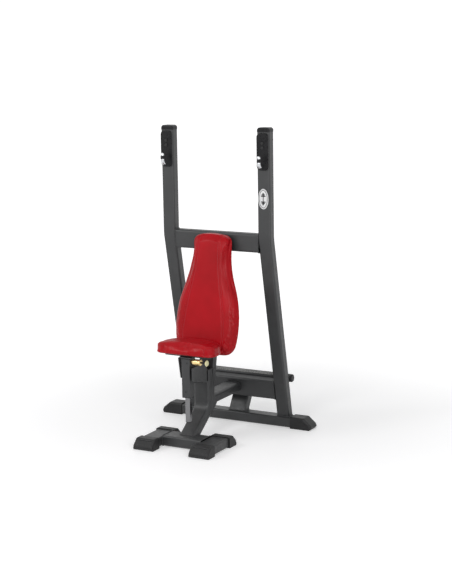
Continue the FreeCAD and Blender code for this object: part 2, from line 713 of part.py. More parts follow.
def seat():
    """The square post with its row of holes, the plate on top, the board and the pad."""
    post = new_body("seat_tube")
    section = new_sketch(post, XY)
    add_rectangle(section, "seat_post", "seat_post", "seat_post_corner")
    add_rectangle(section, "seat_post - 2 * post_wall", "seat_post - 2 * post_wall",
                  "seat_post_corner - post_wall")
    extrude(post, section, "plate_z - seat_post_bottom")
    row = new_sketch(post, YZ)
    first = "pin_z - seat_post_bottom - (hole_count - 1) * hole_pitch"
    add_circle(row, "pin_r + pin_gap", (0, size_of(first)), ("0", first))
    drilled = pocket(post, row, "seat_post", back=True)
    pattern = post.newObject("PartDesign::LinearPattern", "hole_row")
    pattern.Originals = [drilled]
    pattern.Direction = (row, ["V_Axis"])
    bind(pattern, "Length", "(hole_count - 1) * hole_pitch")
    pattern.Occurrences = int(size("hole_count"))
    post.Tip = pattern
    doc.recompute()
    node("seat_post", place(post, y="seat_y", z="seat_post_bottom"))

    plug = end_cap("seat_post_plug", "seat_post", "seat_post", "seat_post_corner", "bush_lip",
                   "bush_lip / 3")
    node("seat_post_plug", place(plug, y="seat_y", z="seat_post_bottom",
                                 turn=Rotation(Vector(1, 0, 0), 180)))

    screws = group("seat_screws", [seat_screw(f"seat_screw_{i}{k}", i, k)
                                   for i in (-1, 1) for k in (-5, 38)])
    plate = tube("plate", "plate_width", "plate_length", "beam_corner", "plate_thick",
                 hollow=False)
    place(plate, y="cushion_y", z="plate_z")
    board = cushion_slab("seat_ply", size("seat_board_inset"), "board")
    place(board, y="cushion_y", z="plate_z + plate_thick")
    node("seat_plate", cut("seat_plate", plate, screws))
    node("seat_board", cut("seat_board", board, screws))
    pad = cushion_slab("seat_pad", 0, "seat_foam")
    upper = soften(pad, pad.Tip, "seat_soft", at_height(size("seat_foam")))
    soften(pad, upper, "seat_under", at_height(0))
    node("seat_pad", place(pad, y="cushion_y", z="plate_z + plate_thick + board"))
    node("seat_screws", screws)


def cushion_slab(label, inset, thick):
    """A slab of the seat's outline, which has tighter corners at the front than at the rear."""
    half, deep = size("seat_width") / 2 - inset, size("seat_depth") / 2 - inset
    front, rear = size("seat_front_corner"), size("seat_rear_corner") - inset
    front = max(front - inset, 12)
    slack = 1 - math.sqrt(0.5)

    def at(side, x, y):
        return side * (half - x), y

    body = new_body(label)
    sketch = new_sketch(body, XY)
    for side in (1, -1):
        add_runs(sketch, [
            (at(side, half, -deep), at(side, front, -deep)),
            (at(side, front, -deep), at(side, front * slack, -deep + front * slack),
             at(side, 0, -deep + front)),
            (at(side, 0, -deep + front), at(side, 0, deep - rear)),
            (at(side, 0, deep - rear), at(side, rear * slack, deep - rear * slack),
             at(side, rear, deep)),
            (at(side, rear, deep), at(side, half, deep))])
    extrude(body, sketch, thick)
    return body


def seat_screw(label, i, k):
    """A screw up through the plate into the board, k millimetres behind the cushion's centre."""
    body = new_body(label)
    shank = new_sketch(body, XY)
    add_circle(shank, "bolt_r - 1")
    extrude(body, shank, "plate_thick + board - 3")
    head = new_sketch(body, XY)
    add_circle(head, "bolt_head_r - 1")
    pad = extrude(body, head, "bolt_head - 2.5", back=True)
    soften(body, pad, "1", at_height(2.5 - size("bolt_head")))
    return place(body, f"{i} * (plate_width / 2 - 12)", f"cushion_y + {k}", "plate_z")


# ---- locking pin -------------------------------------------------------------------------------------

def revolve(label, outline):
    """A turned piece about the X axis, from an outline of (X, radius) points."""
    body = new_body(label)
    sketch = new_sketch(body, XZ)
    add_outline(sketch, outline)
    turned = body.newObject("PartDesign::Revolution", label + "_turned")
    turned.Profile = sketch
    turned.ReferenceAxis = (sketch, ["H_Axis"])
    turned.Angle = 360
    doc.recompute()
    return place(body, y="seat_y", z="pin_z")


def locking_pin():
    """A spring-loaded pin on the left of the sleeve: barrel, spring, pin and pull knob."""
    start, end = size("barrel_start"), size("barrel_end")
    face, bore = size("sleeve") / 2, size("barrel_bore")
    slide = size("pin_r") + size("pin_gap")
    floor = size("barrel_floor")
    radius = size("barrel_r")
    barrel = revolve("pin_barrel", [
        (face, slide), (start + 2, slide), (start + 2, bore), (end - floor, bore),
        (end - floor, slide), (end, slide), (end, radius - 2), (end - 2, radius),
        (start + 2, radius), (start, radius - 2), (start, 10), (face, 10)])
    node("pin_barrel", barrel)

    collar, thick = size("collar_x"), size("collar_thick")
    knob, pin = size("knob_x"), size("pin_r")
    shaft = revolve("locking_pin", [
        (size("pin_tip"), 0), (size("pin_tip"), pin - 1.5), (size("pin_tip") + 1.5, pin),
        (collar, pin), (collar, size("collar_r")), (collar + thick, size("collar_r")),
        (collar + thick, pin), (knob + 5, pin), (knob + 5, 0)])
    node("locking_pin", shaft)
    disc, rim = size("knob_r"), size("knob_thick")
    node("pull_knob", revolve("pull_knob", [
        (knob + 5, 0), (knob + 5, pin), (knob - 4, pin), (knob - 4, pin + 4), (knob, pin + 6),
        (knob, disc - 3), (knob + 3, disc), (knob + rim - 3, disc), (knob + rim, disc - 3),
        (knob + rim, 0)]))

    first, last = collar + thick + size("spring_wire"), end - floor - size("spring_wire")
    helix = doc.addObject("Part::Helix", "spring_line")
    bind(helix, "Radius", "spring_r")
    bind(helix, "Height", f"{last - first}")
    bind(helix, "Pitch", f"{last - first} / spring_turns")
    wire = doc.addObject("Part::Circle", "spring_section")
    bind(wire, "Radius", "spring_wire")
    place(wire, "spring_r", turn=Rotation(Vector(1, 0, 0), 90))
    coil = doc.addObject("Part::Sweep", "coil_spring")
    coil.Sections = [wire]
    coil.Spine = (helix, ["Edge1"])
    coil.Solid = True
    coil.Frenet = True
    node("coil_spring", place(coil, f"{first}", "seat_y", "pin_z", ALONG_X))


# ---- spotter's foot bar ------------------------------------------------------------------------------

def foot_bar():
    """A round bar behind the uprights for a spotter to stand on, with a gritted tread on its top."""
    bar = round_bar("foot_bar", "bar_r", "2 * bar_half", "bar_r - wall")
    node("foot_bar", place(bar, "-bar_half", "bar_y", "bar_z", ALONG_X))
    for side, sign in SIDES:
        body = new_body(f"{side}_foot_bar_cap")
        head = new_sketch(body, XY)
        add_circle(head, "bar_r")
        pad = extrude(body, head, "bar_cap")
        soften(body, pad, "bar_cap - 2", at_height(size("bar_cap")))
        plug = new_sketch(body, XY)
        add_circle(plug, "bar_r - wall")
        extrude(body, plug, "end_plug", back=True)
        turn = Rotation(Vector(0, 1, 0), 90 * sign)
        node(f"{side}_foot_bar_cap", place(body, f"{sign} * bar_half", "bar_y", "bar_z", turn))

    tread = new_body("foot_bar_tread")
    sketch = new_sketch(tread, XY)
    half = math.radians(size("tread_angle") / 2)
    inner, outer = size("bar_r"), size("bar_r") + size("tread")

    def rim(radius, angle):
        return radius * math.sin(angle), radius * math.cos(angle)

    add_runs(sketch, [(rim(outer, -half), rim(outer, 0), rim(outer, half)),
                      (rim(outer, half), rim(inner, half)),
                      (rim(inner, half), rim(inner, 0), rim(inner, -half)),
                      (rim(inner, -half), rim(outer, -half))])
    extrude(tread, sketch, "2 * tread_half")
    node("foot_bar_tread", place(tread, "-tread_half", "bar_y", "bar_z", ALONG_X))

    for side, sign in SIDES:
        rear_face = size_of(upright_y("bar_z")) + size("upright_depth") / 2 / math.cos(
            math.radians(size("upright_lean")))
        block = doc.addObject("Part::Box", f"{side}_saddle_block")
        bind(block, "Length", "saddle_width")
        bind(block, "Width", "bar_r")
        bind(block, "Height", "saddle_height")
        turn = upright_tilt
        corner = turn.multVec(Vector(0, 0, -size("saddle_height") / 2))
        place(block, f"{sign} * upright_x - saddle_width / 2", f"{rear_face + corner.y}",
              f"bar_z + {corner.z}", turn)
        rod = round_bar(f"{side}_saddle_space", "bar_r", "saddle_width * 2")
        place(rod, f"{sign} * upright_x - saddle_width", "bar_y", "bar_z", ALONG_X)
        node(f"{side}_foot_bar_saddle", cut(f"{side}_foot_bar_saddle", block, rod))


# ---- bar hooks and badge -----------------------------------------------------------------------------

def bar_hooks():
    """A moulded guard on each upright's front face and a bright round hook on it for the bar."""
    face = "upright_y - upright_depth / 2"
    turn = Rotation(Vector(1, 0, 0), 90)
    heads = []
    for side, sign in SIDES:
        guard = tube(f"{side}_hook_guard", "guard_width", "guard_height", "guard_corner",
                     "guard_thick", hollow=False)
        soften(guard, guard.Tip, "guard_thick / 3", at_height(size("guard_thick")))
        brow = new_sketch(guard, XY)
        add_rectangle(brow, "guard_width - 8", "brow_height", "guard_corner - 4")
        rise = (size("guard_height") - size("brow_height")) / 2 - 3
        brow.AttachmentOffset = Placement(Vector(0, rise, 0), Rotation())
        pad = extrude(guard, brow, "brow_thick")
        soften(guard, pad, "brow_thick / 6", at_height(size("brow_thick")))
        node(f"{side}_hook_guard", place(guard, f"{sign} * upright_x", face,
                                         "guard_bottom + guard_height / 2", turn))
        node(f"{side}_bar_hook", bar_hook(f"{side}_bar_hook", sign))
        for drop in (58, 84):
            head = new_body(f"{side}_bolt_{drop}")
            sketch = new_sketch(head, XY)
            add_circle(sketch, "bolt_head_r")
            pad = extrude(head, sketch, "bolt_head")
            soften(head, pad, "2", at_height(size("bolt_head")))
            heads.append(place(head, f"{sign} * upright_x", f"{face} - guard_thick",
                               f"guard_bottom + guard_height - {drop}", turn))
    node("hook_bolts", group("hook_bolts", heads))


def bar_hook(label, sign):
    """A round bar that leaves the guard level and turns up through a bend to a domed tip."""
    face = "upright_y - upright_depth / 2 - guard_thick"
    start, level = size_of(face), size("hook_z")
    lip, bend, tip = size("hook_lip_y"), size("hook_bend"), size("hook_tip")
    slack = bend * (1 - math.sqrt(0.5))
    body = new_body(label)
    route = new_sketch(body, YZ)
    add_runs(route, [((start, level), (lip + bend, level)),
                     ((lip + bend, level), (lip + slack, level + slack), (lip, level + bend)),
                     ((lip, level + bend), (lip, tip))])
    section = new_sketch(body, XZ, f"-({face})")
    add_circle(section, "hook_r")
    section.AttachmentOffset = Placement(Vector(0, level, -start), Rotation())
    pipe = body.newObject("PartDesign::AdditivePipe", label + "_pipe")
    pipe.Profile = section
    pipe.Spine = route
    doc.recompute()
    soften(body, pipe, "hook_r - 0.5", at_height(tip))
    return place(body, f"{sign} * upright_x")


def badge():
    """A thin plain oval plate on the front of one upright."""
    body = new_body("badge_plate")
    sketch = new_sketch(body, XY)
    tall, wide = size("badge_height") / 2, size("badge_width") / 2
    sketch.addGeometry(Part.Ellipse(Vector(0, tall, 0), Vector(wide, 0, 0), Vector()))
    pad = extrude(body, sketch, "badge_thick")
    soften(body, pad, "0.8", at_height(size("badge_thick")))
    node("badge", place(body, "upright_x", "upright_y - upright_depth / 2", "badge_z",
                        Rotation(Vector(1, 0, 0), 90)))


# ---- build, check and export -------------------------------------------------------------------------

rear_base()
front_base()
uprights()
cross_beams()
column_space, doubler = column_and_spine()
back_rest(column_space, doubler)
seat_arm()
seat_sleeve()
seat()
locking_pin()
foot_bar()
bar_hooks()
badge()
doc.recompute()

for made in doc.Objects:
    if "Invalid" in made.State or "Error" in made.State:
        raise ValueError(f"{made.Label} did not build: {made.State}")
for label, made in NODES.items():
    if made.Shape.isNull() or not made.Shape.isValid() or not made.Shape.Solids:
        raise ValueError(f"{label} has no valid solid")

os.makedirs("parts", exist_ok=True)
for label, made in NODES.items():
    made.Shape.exportStep(os.path.join("parts", label + ".step"))
print(len(NODES), "sub-parts written")
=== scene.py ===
"""Looks of the seated olympic military press bench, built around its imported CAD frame."""

import json
import math

import bmesh
import bpy
import numpy as np
from mathutils import Euler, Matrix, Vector, noise
from mathutils.bvhtree import BVHTree
from mathutils.kdtree import KDTree


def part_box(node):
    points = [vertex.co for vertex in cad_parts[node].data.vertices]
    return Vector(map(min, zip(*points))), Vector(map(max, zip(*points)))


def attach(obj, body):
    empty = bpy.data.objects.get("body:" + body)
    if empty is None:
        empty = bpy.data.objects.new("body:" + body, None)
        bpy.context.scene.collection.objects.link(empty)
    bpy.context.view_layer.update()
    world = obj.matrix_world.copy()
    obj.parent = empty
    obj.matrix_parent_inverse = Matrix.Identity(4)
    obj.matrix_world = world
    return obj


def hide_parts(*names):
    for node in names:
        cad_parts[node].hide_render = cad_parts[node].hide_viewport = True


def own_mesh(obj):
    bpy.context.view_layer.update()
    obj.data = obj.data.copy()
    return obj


REST_LEAN = math.radians(10.7)       # of the back rest from the vertical
VOXEL = 0.005                        # of the cushions' skins
SHRINK = 0.006                       # how far a cushion starts below its CAD surface
SWELL = 0.010                        # the furthest that a point of a cushion may be blown
PRESSURE = 4.0
PROUD = 0.003                        # how far a cushion may stand out of its CAD box
LAST_FRAME = 20                      # of the cloth simulation
PIPING = 0.0019                      # radius of the cord round a cushion
STITCH_LIFT = 0.0002
FLOOR_REACH = 600
FOOT_TOE = (0.0064, 0.032)           # set back from the tip, and height, of a foot's sloping end
RUNNER_BROW, REAR_BROW = 0.040, 0.052
X, Y, Z = Vector((1, 0, 0)), Vector((0, 1, 0)), Vector((0, 0, 1))
REST_FRONT = Vector((0, -math.cos(REST_LEAN), math.sin(REST_LEAN)))

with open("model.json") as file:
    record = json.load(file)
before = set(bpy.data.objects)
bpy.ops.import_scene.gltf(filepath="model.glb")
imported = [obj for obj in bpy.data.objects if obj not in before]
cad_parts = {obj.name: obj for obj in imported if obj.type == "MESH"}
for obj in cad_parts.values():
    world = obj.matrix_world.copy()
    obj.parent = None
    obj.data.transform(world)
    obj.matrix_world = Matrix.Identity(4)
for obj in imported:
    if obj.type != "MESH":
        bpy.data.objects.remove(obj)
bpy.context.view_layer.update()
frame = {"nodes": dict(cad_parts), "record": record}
nodes = frame["nodes"]
slot_of = {row["node"]: row["material_slot"] for row in frame["record"]["subparts"]}


# ---- camera, light and floor ----------------------------------------------------------------

def link(name, data):
    made = bpy.data.objects.new(name, data)
    bpy.context.scene.collection.objects.link(made)
    return made


def camera():
    data = bpy.data.cameras.new("camera")
    data.sensor_width, data.sensor_fit, data.lens = 36, "AUTO", 92.6526
    view = link("camera", data)
    view.location = (4.19490793, -7.47331396, 2.4622775)
    view.rotation_euler = Euler([math.radians(a) for a in (79.319457, 0.886486, 28.509547)])
    bpy.context.scene.camera = view


def area_light(name, place, target, width, height, power):
    data = bpy.data.lights.new(name, "AREA")
    data.shape, data.size, data.size_y, data.energy = "ELLIPSE", width, height, power
    light = link(name, data)
    light.location = place
    light.rotation_euler = (Vector(target) - light.location).to_track_quat("-Z", "Y").to_euler()


def unlit_share(tree, seen, cast):
    """One number where a surface is seen or mirrored, and another where it lights its neighbours."""
    scattered = tree.nodes.new("ShaderNodeLightPath").outputs["Is Diffuse Ray"]
    choose = tree.nodes.new("ShaderNodeMapRange")
    choose.inputs["To Min"].default_value = seen
    choose.inputs["To Max"].default_value = cast
    tree.links.new(scattered, choose.inputs["Value"])
    return choose.outputs["Result"]


def studio():
    world = bpy.data.worlds.new("studio")
    bpy.context.scene.world = world
    world.use_nodes = True
    world.node_tree.nodes["Background"].inputs["Color"].default_value = (1, 1, 1, 1)
    unseen = unlit_share(world.node_tree, 1.05, 0.30)
    world.node_tree.links.new(unseen, world.node_tree.nodes["Background"].inputs["Strength"])
    bpy.context.scene.view_settings.view_transform = "Standard"
    area_light("front", (0.5, -4.2, 3.0), (0, 0, 1.0), 1.4, 1.4, 48)
    area_light("left", (-2.7, -3.1, 3.0), (0, 0, 1.1), 1.4, 1.6, 48)
    area_light("side", (3.2, -3.0, 1.9), (0, 0, 1.1), 1.0, 1.9, 44)
    area_light("top", (0.2, 0.4, 4.6), (0, 0, 0.6), 2.5, 2.5, 16)
    mesh = bpy.data.meshes.new("floor")
    corners = [(x * FLOOR_REACH, y * FLOOR_REACH, 0) for x, y in ((-1, -1), (1, -1), (1, 1), (-1, 1))]
    mesh.from_pydata(corners, [], [(0, 1, 2, 3)])
    floor = link("floor", mesh)
    paint = bpy.data.materials.new("floor")
    paint.use_nodes = True
    tree = paint.node_tree
    shader = tree.nodes["Principled BSDF"]
    shader.inputs["Base Color"].default_value = (0.82, 0.82, 0.83, 1)
    shader.inputs["Roughness"].default_value = 0.6
    shader.inputs["Emission Color"].default_value = (1, 1, 1, 1)
    spot = tree.nodes.new("ShaderNodeTexCoord").outputs["Object"]
    away = tree.nodes.new("ShaderNodeVectorMath")
    away.operation = "LENGTH"
    tree.links.new(spot, away.inputs[0])
    glow = tree.nodes.new("ShaderNodeMapRange")
    glow.interpolation_type = "SMOOTHSTEP"
    for name, number in (("From Min", 0.6), ("From Max", 3.5), ("To Min", 0.37), ("To Max", 0.80)):
        glow.inputs[name].default_value = number
    tree.links.new(away.outputs["Value"], glow.inputs["Value"])
    lift = tree.nodes.new("ShaderNodeMath")
    lift.operation = "MULTIPLY"
    tree.links.new(glow.outputs["Result"], lift.inputs[0])
    tree.links.new(unlit_share(tree, 1, 0), lift.inputs[1])
    tree.links.new(lift.outputs[0], shader.inputs["Emission Strength"])
    mesh.materials.append(paint)


# ---- materials ------------------------------------------------------------------------------

class Nodes:
    """A material's node tree, with short names for what every finish here needs."""

    def __init__(self, name):
        self.material = bpy.data.materials.new(name)
        self.material.use_nodes = True
        self.tree = self.material.node_tree
        self.shader = self.tree.nodes["Principled BSDF"]
        self.place = self.add("ShaderNodeTexCoord").outputs["Object"]

    def add(self, kind, links=(), **settings):
        made = self.tree.nodes.new(kind)
        for name, value in settings.items():
            if hasattr(made, name):
                setattr(made, name, value)
            else:
                made.inputs[name].default_value = value
        for socket, source in dict(links).items():
            self.tree.links.new(source, made.inputs[socket])
        return made

    def noise(self, scale, detail=3.0):
        made = self.add("ShaderNodeTexNoise", {"Vector": self.place}, Scale=scale, Detail=detail)
        return made.outputs["Fac"]

    def cells(self, scale):
        made = self.add("ShaderNodeTexVoronoi", {"Vector": self.place}, Scale=scale)
        return made.outputs["Distance"]

    def between(self, value, low, high, at=(0.3, 0.7)):
        made = self.add("ShaderNodeMapRange", {"Value": value})
        for name, number in (("From Min", at[0]), ("From Max", at[1]), ("To Min", low),
                             ("To Max", high)):
            made.inputs[name].default_value = number
        return made.outputs["Result"]

    def mix(self, share, low, high):
        """Low where share is 0 and high where it is 1. Each is a colour or another node's output."""
        made = self.add("ShaderNodeMix", data_type="RGBA")
        self.tree.links.new(share, made.inputs["Factor"])
        for index, colour in ((6, low), (7, high)):
            if isinstance(colour, tuple):
                made.inputs[index].default_value = (*colour, 1)
            else:
                self.tree.links.new(colour, made.inputs[index])
        return made.outputs[2]

    def feed(self, **sources):
        for name, source in sources.items():
            self.tree.links.new(source, self.shader.inputs[name.replace("_", " ")])


def finish(name, colours, cloudy, rough, bumps, rounded=0.0, edge_wear_and_highlight=None, **uniform):
    """A procedural finish: colour that drifts between two values, uneven gloss, layered bumps,
    softened edges and, given an edge colour, edges drawn lighter in the base colour: partly rubbed
    wear, partly a painted highlight where light would catch the rounded edges. What's left are the
    shader's own sockets, with one value each."""
    nodes = Nodes(name)
    colour = nodes.mix(nodes.between(nodes.noise(cloudy, 4.0), 0, 1), *colours)
    normal = None
    if rounded:
        normal = nodes.add("ShaderNodeBevel", samples=4, Radius=rounded).outputs["Normal"]
    # Painted highlight, partly wear: where the wide bevel normal turns away from the flat one, the
    # edge is drawn in the lighter edge colour.
    if edge_wear_and_highlight:
        wide = nodes.add("ShaderNodeBevel", samples=4, Radius=rounded * 1.6).outputs["Normal"]
        plain = nodes.add("ShaderNodeNewGeometry").outputs["Normal"]
        match = nodes.add("ShaderNodeVectorMath", operation="DOT_PRODUCT")
        nodes.tree.links.new(wide, match.inputs[0])
        nodes.tree.links.new(plain, match.inputs[1])
        share = nodes.between(match.outputs["Value"], 0.55, 0, (0.75, 0.985))
        colour = nodes.mix(share, colour, edge_wear_and_highlight)
    nodes.feed(Base_Color=colour, Roughness=nodes.between(nodes.noise(cloudy * 6), *rough))
    for kind, scale, strength, depth in bumps:
        height = nodes.cells(scale) if kind == "cells" else nodes.noise(scale)
        bump = nodes.add("ShaderNodeBump", {"Height": height}, Strength=strength, Distance=depth)
        if normal is not None:
            nodes.tree.links.new(normal, bump.inputs["Normal"])
        normal = bump.outputs["Normal"]
    if normal is not None:
        nodes.feed(Normal=normal)
    for socket, value in uniform.items():
        nodes.shader.inputs[socket.replace("_", " ")].default_value = value
    return nodes.material


def finishes():
    """Every finish by the name of its slot, with two more that belong to no slot of their own."""
    fine = [("noise", 900, 0.35, 0.0004)]
    grain = [("cells", 620, 0.25, 0.0005), ("noise", 160, 0.2, 0.0008), ("noise", 28, 0.2, 0.002)]
    return {
        # The frame paint's third colour is its lighter edge colour: a painted highlight on the
        # rounded tube edges, partly rubbed wear.
        "frame_paint": finish("frame_paint", ((0.021, 0.022, 0.023), (0.029, 0.030, 0.031)), 9,
                              (0.38, 0.5), [("noise", 1300, 0.3, 0.0003)], 0.002,
                              (0.10, 0.10, 0.105), Specular_IOR_Level=0.5),
        # The rubber's third colour lightens its edges the same way: a painted highlight, partly wear.
        "foot_rubber": finish("foot_rubber", ((0.008, 0.008, 0.008), (0.013, 0.013, 0.014)), 22,
                              (0.45, 0.6), fine, 0.004, (0.03, 0.03, 0.03),
                              Specular_IOR_Level=0.35),
        "cap_plastic": finish("cap_plastic", ((0.006, 0.006, 0.007), (0.010, 0.010, 0.011)), 16,
                              (0.24, 0.36), fine, 0.0012, Specular_IOR_Level=0.2),
        "red_upholstery": finish("red_upholstery", ((0.34, 0.001, 0.005), (0.43, 0.002, 0.008)), 7,
                                 (0.30, 0.42), grain, Specular_IOR_Level=0.13,
                                 Coat_Weight=0.10, Coat_Roughness=0.28),
        "board_wood": finish("board_wood", ((0.012, 0.010, 0.010), (0.028, 0.024, 0.022)), 40,
                             (0.5, 0.7), [("noise", 240, 0.4, 0.0005)], 0.001),
        "bright_chrome": finish("bright_chrome", ((0.50, 0.51, 0.53), (0.62, 0.63, 0.64)), 12,
                                (0.08, 0.16), [("noise", 60, 0.05, 0.0004)], 0.0015, Metallic=1.0),
        # A darker copy of the chrome for the seat post: painted shade, standing in for the dark
        # surroundings that the real chrome mirrors.
        "post_chrome_painted_shade": finish("post_chrome_painted_shade", ((0.16, 0.16, 0.165), (0.21, 0.21, 0.215)), 12,
                              (0.1, 0.18), [("noise", 60, 0.05, 0.0004)], 0.0015, Metallic=1.0),
        "fixings_zinc": finish("fixings_zinc", ((0.42, 0.42, 0.43), (0.58, 0.58, 0.58)), 60,
                               (0.25, 0.4), fine, 0.0006, Metallic=1.0),
        "fixings_black": finish("fixings_black", ((0.008, 0.008, 0.009), (0.02, 0.02, 0.02)), 60,
                                (0.3, 0.45), fine, 0.0006, Metallic=0.4),
        "spring_steel": finish("spring_steel", ((0.35, 0.35, 0.36), (0.5, 0.5, 0.5)), 80,
                               (0.25, 0.35), fine, Metallic=1.0),
        "barrel_brass": finish("barrel_brass", ((0.85, 0.62, 0.26), (0.95, 0.74, 0.38)), 50,
                               (0.2, 0.34), [("noise", 500, 0.2, 0.0003)], 0.001, Metallic=0.75),
        "knob_yellow": finish("knob_yellow", ((0.80, 0.78, 0.40), (0.90, 0.88, 0.52)), 40,
                              (0.2, 0.3), fine, 0.001),
        "tread_grit": finish("tread_grit", ((0.08, 0.08, 0.08), (0.42, 0.42, 0.41)), 210,
                             (0.7, 0.9), [("cells", 420, 0.9, 0.0015)]),
        "badge_white": finish("badge_white", ((0.70, 0.70, 0.71), (0.80, 0.80, 0.80)), 30,
                              (0.25, 0.35), fine, 0.0006),
        "stitch_thread": finish("stitch_thread", ((0.30, 0.02, 0.03), (0.46, 0.05, 0.06)), 300,
                                (0.45, 0.6), [("noise", 1500, 0.4, 0.0003)]),
    }


# ---- mesh helpers ---------------------------------------------------------------------------

def dress(piece, slot, body, material=None):
    """Gives a finished piece the material of its slot, or the material named, and the body it moves
    with.
    """
    piece.data.materials.clear()
    piece.data.materials.append(looks[material or slot])
    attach(piece, body)
    return piece


def add_rope(mesh, points, radii, closed=False, sides=8):
    """Adds a round bar along points, with a radius at each, to a bmesh."""
    count = len(points)
    rings = []
    normal = None
    for i, spot in enumerate(points):
        before = points[(i - 1) % count] if closed or i else spot
        after = points[(i + 1) % count] if closed or i < count - 1 else spot
        along = (after - before).normalized()
        if normal is None:
            normal = along.orthogonal().normalized()
        normal = (normal - along * normal.dot(along)).normalized()
        other = along.cross(normal)
        rings.append([mesh.verts.new(spot + radii[i] * (math.cos(a) * normal + math.sin(a) * other))
                      for a in (2 * math.pi * k / sides for k in range(sides))])
    for i in range(count if closed else count - 1):
        low, high = rings[i], rings[(i + 1) % count]
        shift = 0
        if closed and i == count - 1:
            shift = min(range(sides), key=lambda s: (high[s].co - low[0].co).length)
        for k in range(sides):
            mesh.faces.new((low[k], low[(k + 1) % sides], high[(k + 1 + shift) % sides],
                            high[(k + shift) % sides]))
    if not closed:
        mesh.faces.new(rings[0][::-1])
        mesh.faces.new(rings[-1])


def from_bmesh(name, mesh, smooth=True):
    bmesh.ops.recalc_face_normals(mesh, faces=mesh.faces)
    data = bpy.data.meshes.new(name)
    mesh.to_mesh(data)
    mesh.free()
    for face in data.polygons:
        face.use_smooth = smooth
    return link(name, data)


def slice_loop(data, spot, normal):
    """The longest closed outline that a plane cuts through a mesh, as points in order."""
    mesh = bmesh.new()
    mesh.from_mesh(data)
    bmesh.ops.remove_doubles(mesh, verts=mesh.verts, dist=1e-6)
    everything = mesh.verts[:] + mesh.edges[:] + mesh.faces[:]
    cut = bmesh.ops.bisect_plane(mesh, geom=everything, plane_co=spot, plane_no=normal)["geom_cut"]
    edges = [e for e in cut if isinstance(e, bmesh.types.BMEdge)]
    neighbours = {}
    for edge in edges:
        a, b = edge.verts
        neighbours.setdefault(a, []).append(b)
        neighbours.setdefault(b, []).append(a)
    loops, seen = [], set()
    for start in neighbours:
        if start in seen:
            continue
        loop, here = [], start
        while here is not None:
            seen.add(here)
            loop.append(here.co.copy())
            here = next((v for v in neighbours[here] if v not in seen), None)
        loops.append(loop)
    mesh.free()
    return max(loops, key=length_of) if loops else []


def length_of(points):
    return sum((b - a).length for a, b in zip(points, points[1:] + points[:1]))


def even(points, step, closed=True):
    """The same line with its points spread evenly, about a step apart."""
    line = points + points[:1] if closed else points
    marks = [0.0]
    for a, b in zip(line, line[1:]):
        marks.append(marks[-1] + (b - a).length)
    count = max(4, round(marks[-1] / step))
    wanted = np.linspace(0, marks[-1], count + (0 if closed else 1), endpoint=not closed)
    spread = [np.interp(wanted, marks, [p[axis] for p in line]) for axis in range(3)]
    return [Vector(p) for p in zip(*spread)]


def smooth_line(points, steps=12):
    """A curve through points, as many short runs."""
    line = []
    for i in range(len(points) - 1):
        p0, p1, p2, p3 = (points[max(0, min(len(points) - 1, i + k))] for k in (-1, 0, 1, 2))
        for step in range(steps):
            t = step / steps
            line.append(0.5 * (2 * p1 + (p2 - p0) * t + (2 * p0 - 5 * p1 + 4 * p2 - p3) * t ** 2
                               + (3 * p1 - p0 - 3 * p2 + p3) * t ** 3))
    return line + [points[-1]]


# ---- cushions -------------------------------------------------------------------------------

def world_points(data):
    flat = np.empty(len(data.vertices) * 3)
    data.vertices.foreach_get("co", flat)
    return flat.reshape(-1, 3)


def remeshed(name, source, voxel):
    """A copy of a mesh as an even skin of small squares."""
    piece = link(name, source.copy())
    remesh = piece.modifiers.new("remesh", "REMESH")
    remesh.mode, remesh.voxel_size = "VOXEL", voxel
    graph = bpy.context.evaluated_depsgraph_get()
    piece.data = bpy.data.meshes.new_from_object(piece.evaluated_get(graph))
    piece.modifiers.clear()
    return piece


def subdivided(piece):
    """Applies one subdivision."""
    piece.modifiers.new("finer", "SUBSURF").levels = 1
    graph = bpy.context.evaluated_depsgraph_get()
    piece.data = bpy.data.meshes.new_from_object(piece.evaluated_get(graph))
    piece.modifiers.clear()


def puffed(name, node, board, facing):
    """A cushion: the CAD solid's shape, a little smaller, blown up as cloth that is held along the
    face that lies on its board. Facing points from the board to the front of the cushion."""
    piece = remeshed(name, nodes[node].data, VOXEL)
    base = max(v.co.dot(facing) for v in nodes[board].data.vertices)
    points = world_points(piece.data)
    away = points @ np.array(facing) - base
    normals = np.array([v.normal for v in piece.data.vertices])
    free = np.clip((away - 0.004) / 0.012, 0, 1)[:, None]
    start = points - normals * SHRINK * free
    piece.data.vertices.foreach_set("co", start.ravel())
    held = piece.vertex_groups.new(name="held")
    held.add([int(i) for i in np.flatnonzero(away < 0.005)], 1.0, "REPLACE")
    cloth = piece.modifiers.new("cloth", "CLOTH")
    cloth.settings.quality = 5
    cloth.settings.mass = 0.3
    cloth.settings.tension_stiffness = cloth.settings.compression_stiffness = 18
    cloth.settings.shear_stiffness = 8
    cloth.settings.bending_stiffness = 4
    cloth.settings.use_pressure = True
    cloth.settings.uniform_pressure_force = PRESSURE
    cloth.settings.effector_weights.gravity = 0
    cloth.settings.vertex_group_mass = "held"
    cloth.collision_settings.use_collision = False
    for number in range(1, LAST_FRAME + 1):
        bpy.context.scene.frame_set(number)
    graph = bpy.context.evaluated_depsgraph_get()
    blown = world_points(piece.evaluated_get(graph).data)
    bpy.context.scene.frame_set(1)
    piece.modifiers.clear()
    piece.vertex_groups.clear()
    shift = blown - start
    size = np.linalg.norm(shift, axis=1, keepdims=True)
    shift *= np.minimum(1, SWELL / np.maximum(size, 1e-9))
    piece.data.vertices.foreach_set("co", (start + shift).ravel())
    subdivided(piece)
    return piece


def kept_inside(piece, node):
    """Keeps a cushion within its CAD solid's box, apart from how far it may stand proud."""
    low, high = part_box(node)
    points = np.clip(world_points(piece.data), np.array(low) - PROUD, np.array(high) + PROUD)
    piece.data.vertices.foreach_set("co", points.ravel())
    piece.data.update()


def draped(piece, path, direction):
    """Drops each point of a path onto a cushion, along a direction."""
    graph = bpy.context.evaluated_depsgraph_get()
    tree = BVHTree.FromObject(piece, graph)
    found = []
    for spot in path:
        hit = tree.ray_cast(spot - direction * 0.3, direction)
        if hit[0] is not None:
            found.append((hit[0], hit[1]))
    return found


